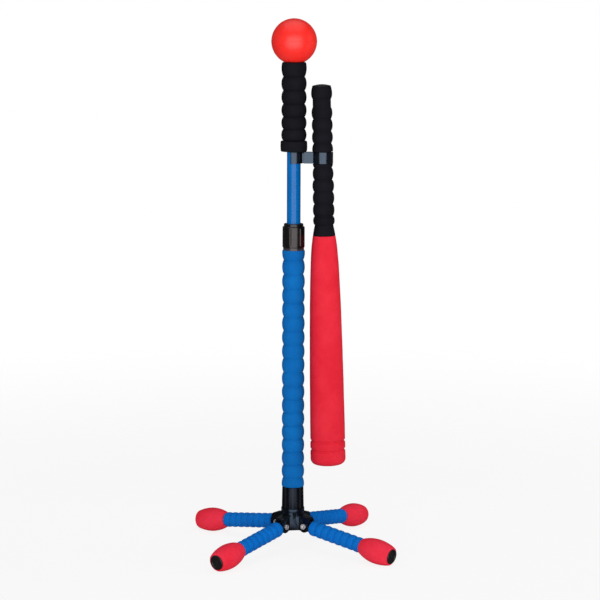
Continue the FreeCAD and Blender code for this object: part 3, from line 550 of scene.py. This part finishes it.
def handle_radius(height):
    if height > KNOB_LOW:
        share = (height - KNOB_LOW) / (BAT_TOP - KNOB_LOW)
        return (15.0 + 2.6 * math.sin(math.pi * share ** 0.8) ** 0.8 - 0.2 * share) * MM
    if height > BEADS_TOP:
        return 15.2 * MM
    if height < BEADS_LOW:
        share = (BEADS_LOW - height) / (BEADS_LOW - HANDLE_LOW)
        return (15.4 + 3.6 * share ** 0.85) * MM
    squeeze = max(abs(height) - clip_half - 0.4 * MM, 0)
    fuller = 0.7 * MM if height < -38 * MM else 0
    return min(handle_beads(height) + fuller, NIP + 5 * squeeze)


handle = turned("bat_grip", sleeve(handle_radius, every(HANDLE_LOW, BAT_TOP, 0.9 * MM), HANDLE_LOW,
                                   BAT_TOP, 9.4 * MM, 1.2 * MM))
hang(smooth(uneven(handle, 0.25 * MM), 75))
fit(handle, black_foam, "black_foam", "bat", "bat_handle_foam", fill=0.9)

# %% [markdown]
# The barrel widens quickly and then slowly, which two fading exponentials follow well. Near its end
# it has two pressed rings and then a wide rounding, and it starts with a rim a little prouder than
# the handle's, because it is a separate block of foam.

# %% Barrel
BARREL_LENGTH = 391.6 * MM
BARREL_LOW = HANDLE_LOW - BARREL_LENGTH
END_ROUNDING = 11 * MM
RINGS = (26.2 * MM, 41.4 * MM)
RING_DEPTH = 2.2
START_RADIUS = 19.0
QUICK_GAIN, QUICK_FADE = 3.2, 25.5
SLOW_GAIN, SLOW_FADE = 9.04, 202


def barrel_radius(height):
    down = (HANDLE_LOW - height) / MM
    quick = QUICK_GAIN * (1 - math.exp(-down / QUICK_FADE))
    slow = SLOW_GAIN * (1 - math.exp(-down / SLOW_FADE))
    body = START_RADIUS + quick + slow
    above_end = height - BARREL_LOW
    for ring in RINGS:
        body -= RING_DEPTH * math.exp(-((above_end - ring) / (2.0 * MM)) ** 2)
    inset = max(END_ROUNDING - above_end, 0) / END_ROUNDING
    return (body - (1 - math.sqrt(max(1 - inset ** 2.2, 0))) * 11.5) * MM


fine = every(BARREL_LOW, BARREL_LOW + 52 * MM, 0.7 * MM)
coarse = every(BARREL_LOW + 52 * MM, HANDLE_LOW, 5 * MM)
barrel_skin = skin(barrel_radius, fine + coarse[1:], BARREL_LOW, HANDLE_LOW, 0.9 * MM)
barrel = turned("bat_barrel", [(0, BARREL_LOW)] + barrel_skin + [(0, HANDLE_LOW)], steps=128)
hang(smooth(uneven(barrel, 0.35 * MM), 75))
fit(barrel, red_foam, "red_foam", "bat", "bat_barrel_foam", fill=0.9)

# %% [markdown]
# A thin moulded disc closes the top of the handle. It is slightly domed and has a rolled edge.

# %% Knob disc
disc_rise = [(radius * MM, BAT_TOP + (2.0 - 2.6 * (radius / 15.6) ** 2) * MM)
             for radius in (15.2, 14, 12, 9, 6, 3, 0)]
knob_disc = turned("bat_knob_disc", [
    (0, BAT_TOP - 1.2 * MM), (15.2 * MM, BAT_TOP - 1.2 * MM), (15.7 * MM, BAT_TOP - 0.9 * MM),
    (15.7 * MM, BAT_TOP - 0.6 * MM)] + disc_rise)
hang(smooth(knob_disc, 50))
fit(knob_disc, cap_plastic, "black_cap", "bat", "bat_knob_cap")

# %% [markdown]
# ## Legs
# Each leg is made once, lying along the vertical axis, and copied four times with a mesh of its own.
# A leg is placed from its fold joint: the joint's position gives the azimuth, and the leg slopes
# down by eight degrees.

# %% Leg placing
LEG_SLOPE = math.radians(8)
FOAM_START = 12 * MM
BULB_START = 117.1 * MM
BULB_MIDDLE = 149.6 * MM
BULB_END = 177.6 * MM


def on_leg(piece, leg):
    """Lay a piece made along +Z from the pivot down its leg."""
    x, y, z = joints[f"leg_fold_{leg}"]["pos_m"]
    return settle(piece, (x, y, z), (0, math.pi / 2 + LEG_SLOPE, math.atan2(y, x)))


def copies(pattern, name):
    """One copy of a finished pattern for each leg, laid on its leg. The pattern is then deleted."""
    made = {}
    for leg in LEGS:
        piece = pattern.copy()
        piece.data = pattern.data.copy()
        piece.name = f"{name}_{leg}"
        bpy.context.scene.collection.objects.link(piece)
        made[leg] = on_leg(piece, leg)
    bpy.data.objects.remove(pattern)
    return made


# %% [markdown]
# The leg sleeve has eight low beads. The foot is an egg of red foam: two arcs, a longer one towards
# the hub. It is laid in place first and then cut flat where it meets the floor, as its weight
# presses it.

# %% Leg sleeves
leg_valleys = every(FOAM_START, BULB_START, (BULB_START - FOAM_START) / 8)
leg_sleeve = turned("leg_sleeve", sleeve(beaded(leg_valleys, 11.1 * MM, 1.8 * MM),
                                         bead_heights(leg_valleys, 8), FOAM_START, BULB_START,
                                         8.3 * MM, 1.5 * MM), steps=64)
smooth(uneven(leg_sleeve, 0.25 * MM), 75)
for leg, piece in copies(leg_sleeve, "leg_sleeve").items():
    fit(piece, leg_foam, "blue_foam", f"leg_{leg}", f"leg_foam_{leg}", fill=0.9)

# %% Foot bulbs
def bulb_radius(height):
    arc = 70 * MM if height < BULB_MIDDLE else 78 * MM
    return 20.5 * MM - arc + math.sqrt(arc ** 2 - (height - BULB_MIDDLE) ** 2)


bulb = turned("foot", sleeve(bulb_radius, every(BULB_START, BULB_END, 2 * MM), BULB_START, BULB_END,
                             8.3 * MM, 1.4 * MM))
smooth(uneven(bulb, 0.3 * MM), 75)
for leg, piece in copies(bulb, "foot").items():
    pick(piece)
    bpy.ops.object.mode_set(mode="EDIT")
    bpy.ops.mesh.select_all(action="SELECT")
    bpy.ops.mesh.bisect(plane_co=(0, 0, 0), plane_no=(0, 0, 1), clear_inner=True, use_fill=True)
    bpy.ops.object.mode_set(mode="OBJECT")
    fit(piece, foot_foam, "red_foam", f"leg_{leg}", f"foot_bulb_{leg}", fill=0.95)

# %% [markdown]
# The push-in cap that closes each leg tube has a soft rolled rim, a dish, and a small gate mark in
# the middle where the plastic came in.

# %% Foot caps
cap_rise = 2.2 * MM
cap_outline = rounded([
    (0, BULB_END - 12 * MM, 0), (6.5 * MM, BULB_END - 12 * MM, 0.6 * MM), (6.5 * MM, BULB_END, 0),
    (12.6 * MM, BULB_END, 0.3 * MM), (12.6 * MM, BULB_END + cap_rise, 1.3 * MM),
    (9.6 * MM, BULB_END + cap_rise, 0.6 * MM), (8.9 * MM, BULB_END + 0.9 * MM, 0.4 * MM),
    (1.8 * MM, BULB_END + 0.9 * MM, 0.1 * MM), (1.6 * MM, BULB_END + 1.2 * MM, 0.1 * MM),
    (0, BULB_END + 1.2 * MM, 0)])
foot_cap = turned("foot_cap", cap_outline[:-1], steps=64)
smooth(foot_cap, 50)
for leg, piece in copies(foot_cap, "foot_plug").items():
    fit(piece, cap_plastic, "black_cap", f"leg_{leg}", f"foot_cap_{leg}")

# %% [markdown]
# ## Mouldings with broken edges
# The hub, the leg ends, the clip and the fasteners are engineered shapes with many flats, and their
# solids already have the right form. What they lack is the small radius on every edge that a real
# mould has, and that is what catches the light. So a copy of each solid is merged, its flat faces
# are joined up, and a bevel rounds the edges. Drawing them again from cubes would only copy the same
# numbers.

# %% Rounded copy of a solid
def eased(node, name, width, segments=3):
    """A copy of a solid with every sharp edge rounded."""
    piece = frame["nodes"][node].copy()
    piece.data = piece.data.copy()
    piece.parent = None
    piece.name = name
    for key in list(piece.keys()):
        del piece[key]
    bpy.context.scene.collection.objects.link(piece)
    pick(piece)
    bpy.ops.object.mode_set(mode="EDIT")
    bpy.ops.mesh.select_all(action="SELECT")
    bpy.ops.mesh.remove_doubles(threshold=2e-6)
    bpy.ops.mesh.customdata_custom_splitnormals_clear()
    bpy.ops.mesh.dissolve_limited(angle_limit=math.radians(1))
    bpy.ops.mesh.normals_make_consistent(inside=False)
    bpy.ops.object.mode_set(mode="OBJECT")
    modify(piece, "BEVEL", width=width, segments=segments, limit_method="ANGLE",
           angle_limit=math.radians(35), harden_normals=False)
    return smooth(piece, 35)


hub = eased("hub", "leg_hub", 0.7 * MM)
fit(hub, hub_plastic, "black_moulding", "base", "hub")
for leg in LEGS:
    tongue = eased(f"leg_tongue_{leg}", f"leg_end_{leg}", 0.6 * MM)
    fit(tongue, hub_plastic, "black_moulding", f"leg_{leg}", f"leg_tongue_{leg}")
clip = eased("bat_clip", "bat_holder", 0.5 * MM)
fit(clip, clip_nylon, "clip_plastic", "clip", "bat_clip")
bolts = eased("leg_pivot_bolts", "pivot_bolts", 0.4 * MM)
fit(bolts, zinc, "zinc_steel", "base", "leg_pivot_bolts")
nuts = eased("leg_pivot_nuts", "pivot_nuts", 0.3 * MM)
fit(nuts, zinc, "zinc_steel", "base", "leg_pivot_nuts")

# %% [markdown]
# ## The two grip nuts
# Both nuts are turned shells with flutes for the fingers, eight below and seven above. Each flute is
# cut by an upright cylinder: a wide one, mostly outside the wall, for the shallow flutes below, and a
# narrow one for those above. A bevel then rounds the ridges beside the flutes, and they catch light.

# %% Fluted nut
def fluted(piece, count, cutter_radius, centre_radius, low, high, yaw):
    """Cut upright flutes round a shell, and round the ridges that they leave."""
    bpy.ops.object.select_all(action="DESELECT")
    cutters = []
    for index in range(count):
        angle = math.radians(yaw) + math.tau * index / count
        middle = (centre_radius * math.cos(angle), centre_radius * math.sin(angle), (low + high) / 2)
        bpy.ops.mesh.primitive_cylinder_add(vertices=48, radius=cutter_radius, depth=high - low,
                                            location=middle)
        cutters.append(bpy.context.object)
    for cutter in cutters:
        cutter.select_set(True)
    bpy.ops.object.join()
    cutter = bpy.context.object
    modify(piece, "BOOLEAN", operation="DIFFERENCE", object=cutter, solver="EXACT")
    bpy.data.objects.remove(cutter)
    modify(piece, "BEVEL", width=0.4 * MM, segments=3, limit_method="ANGLE",
           angle_limit=math.radians(25), harden_normals=False)
    return smooth(piece, 35)


# %% Base nut
low, high = height_of("base_nut")
base_grip = turned("base_grip", rounded([
    (16.7 * MM, low, 0), (19.8 * MM, low, 0.8 * MM), (18.4 * MM, high, 0.8 * MM),
    (16.7 * MM, high, 0)], count=3), steps=112)
fluted(base_grip, 8, 20 * MM, 37.7 * MM, low - 2 * MM, high + 2 * MM, -90)
fit(base_grip, grip_plastic, "black_moulding", "base_nut", "base_nut")

# %% Lock nut
low, high = height_of("lock_nut")
shoulder = high - 4.6 * MM
lock_grip = turned("lock_grip", rounded([
    (16.3 * MM, low, 0), (18.65 * MM, low, 0.9 * MM), (18.65 * MM, shoulder, 2.2 * MM),
    (16.4 * MM, shoulder, 0.4 * MM), (16.25 * MM, high, 1.2 * MM), (11.9 * MM, high, 0.5 * MM),
    (11.9 * MM, high - 4 * MM, 0), (16.3 * MM, high - 6 * MM, 0)], count=3), steps=112)
fluted(lock_grip, 7, 2.4 * MM, 20.1 * MM, low + 3.5 * MM, shoulder - 3 * MM, -107)
fit(lock_grip, nut_plastic, "black_moulding", "lock_nut", "lock_nut")

# %% [markdown]
# ## Finishes for the parts that keep their shape
# Tubes and inner parts are right as they are, and only need a finish. Most of them are hidden, but
# they show when the pole slides up or the bat is turned over.

# %% Materials on the carried-over parts
FINISHES = {"upper_tube": enamel, "lower_tube": enamel, "lock_collar": nut_plastic,
            "tube_guide_bush": inner_plastic, "tube_top_cap": cap_plastic,
            "bat_core_tube": inner_plastic}
FINISHES.update({f"leg_tube_{leg}": enamel for leg in LEGS})
for node, material in FINISHES.items():
    slots = frame["nodes"][node].data.materials
    slots.clear()
    slots.append(material)
print("finishes given to", len(FINISHES), "carried-over parts")

# %% [markdown]
# ## Floor, light and camera
# The tee stands on a pale floor that fades out into a white surround. The light is a plain studio
# set: a wide soft light behind the camera, a tall one on the right, a weak one on the left, and a
# very soft one from above. To reflections the surround is a dim grey, so that round forms darken
# towards their edges. The floor and the two side lights are left out of glossy reflections for the
# same reason, so that the sides of the black nuts and the hub stay dark.

# %% Floor
bpy.ops.object.select_all(action="DESELECT")
bpy.ops.mesh.primitive_circle_add(vertices=96, radius=2.4, fill_type="NGON", location=(0, 0, 0))
floor = bpy.context.object
floor.name = "studio_floor"
floor_paint, tree, shader, place = recipe("pale_floor_paint")
mottle = add(tree, "ShaderNodeTexNoise", {"Vector": place, "Scale": 3.0})
tree.links.new(two_tone(tree, mottle.outputs["Fac"], "#f4f4f4", "#f7f7f7"), shader.inputs["Base Color"])
shader.inputs["Roughness"].default_value = 0.9
shader.inputs["Specular IOR Level"].default_value = 0.0
ray = add(tree, "ShaderNodeLightPath")
glow = add(tree, "ShaderNodeEmission", {"Color": linear("#ffffff"), "Strength": 1.0})
share = add(tree, "ShaderNodeMath", {0: ray.outputs["Is Camera Ray"], 1: 0.86}, operation="MULTIPLY")
lit = add(tree, "ShaderNodeMixShader", {0: share.outputs["Value"], 1: shader.outputs["BSDF"],
                                        2: glow.outputs["Emission"]})
reach = add(tree, "ShaderNodeVectorMath", {0: place}, operation="LENGTH")
fade = add(tree, "ShaderNodeMapRange", {"Value": reach.outputs["Value"], "From Min": 0.5,
                                        "From Max": 2.2}, interpolation_type="SMOOTHSTEP")
clear = add(tree, "ShaderNodeBsdfTransparent")
ground = add(tree, "ShaderNodeMixShader", {0: fade.outputs["Result"], 1: lit.outputs["Shader"],
                                           2: clear.outputs["BSDF"]})
tree.links.new(ground.outputs["Shader"], tree.nodes["Material Output"].inputs["Surface"])
floor.data.materials.append(floor_paint)
floor.visible_glossy = False
print("floor radius 2.4 m")

# %% Surround
world = bpy.data.worlds.new("studio_surround")
bpy.context.scene.world = world
world.use_nodes = True
sky = world.node_tree
sky.nodes.clear()
seen = add(sky, "ShaderNodeLightPath")
white = add(sky, "ShaderNodeBackground", {"Color": linear("#ffffff"), "Strength": 1.0})
grey = add(sky, "ShaderNodeBackground", {"Color": linear("#ffffff"), "Strength": 0.1})
both = add(sky, "ShaderNodeMixShader", {0: seen.outputs["Is Camera Ray"], 1: grey.outputs["Background"],
                                        2: white.outputs["Background"]})
add(sky, "ShaderNodeOutputWorld", {"Surface": both.outputs["Shader"]})

# %% Lights
tee_middle = Vector((0.02, 0, 0.45))


def softbox(name, azimuth, elevation, distance, width, height, power):
    """A rectangular light aimed at the tee's middle. Azimuth 0 is the camera's side, 90 the right."""
    a, e = math.radians(azimuth), math.radians(elevation)
    back = Vector((math.sin(a) * math.cos(e), -math.cos(a) * math.cos(e), math.sin(e)))
    light = bpy.data.lights.new(name, "AREA")
    light.shape = "RECTANGLE"
    light.size, light.size_y, light.energy = width, height, power
    lamp = bpy.data.objects.new(name, light)
    lamp.location = tee_middle + back * distance
    lamp.rotation_euler = back.to_track_quat("Z", "Y").to_euler()
    bpy.context.scene.collection.objects.link(lamp)
    return lamp


softbox("front_softbox", 0, 0, 4.6, 7.2, 5.2, 320)
right_softbox = softbox("right_softbox", 98, 5, 3.0, 1.8, 3.4, 38)
left_fill = softbox("left_fill", -85, 10, 3.5, 4.0, 4.0, 20)
for side_light in (right_softbox, left_fill):
    side_light.visible_glossy = False
softbox("top_softbox", 0, 88, 2.6, 3.0, 3.0, 30)
print("four soft lights")

# %% Camera
camera_data = bpy.data.cameras.new("camera")
camera_data.sensor_width = 36
camera_data.lens = 122.6
camera = bpy.data.objects.new("camera", camera_data)
bpy.context.scene.collection.objects.link(camera)
CAMERA_PITCH = math.radians(90 - 8.2)
CAMERA_ROLL = math.radians(0.2)
camera.location = (0.0094, -3.41, 0.919)
camera.rotation_euler = (CAMERA_PITCH, -CAMERA_ROLL, 0)
bpy.context.scene.camera = camera
bpy.context.scene.view_settings.view_transform = "Standard"
print("camera at", tuple(camera.location))
